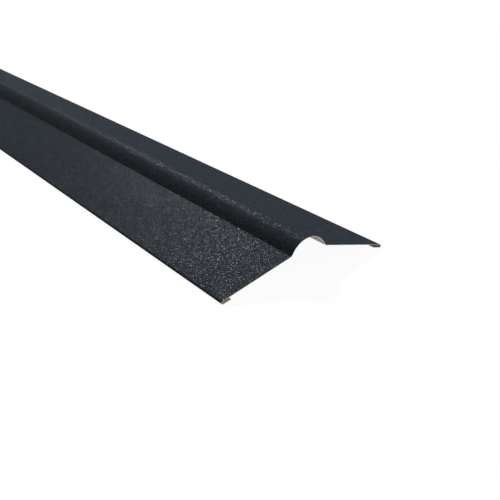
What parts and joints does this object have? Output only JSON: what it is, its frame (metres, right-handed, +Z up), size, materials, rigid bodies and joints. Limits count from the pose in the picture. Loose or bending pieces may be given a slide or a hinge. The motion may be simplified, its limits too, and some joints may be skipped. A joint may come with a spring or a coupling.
{
  "type": "ridge cap",
  "caption": "Folded sheet-steel ridge cap: a half-round roll between two sloping wings with hemmed edges, laid over a metal roof's ridge.",
  "frame": {"origin": "on the plane that the two hems stand on, under the middle of the roll, halfway along the length", "axes": "+X along the length, towards the cut end that the picture shows near; +Y across, towards the wing that it shows behind the roll; +Z up"},
  "size_m": [2, 0.29, 0.0552],
  "materials": {
    "coated_steel": "matte"
  },
  "bodies": {
    "root": {"ridge_cap": "coated_steel"}
  },
  "joints": []
}
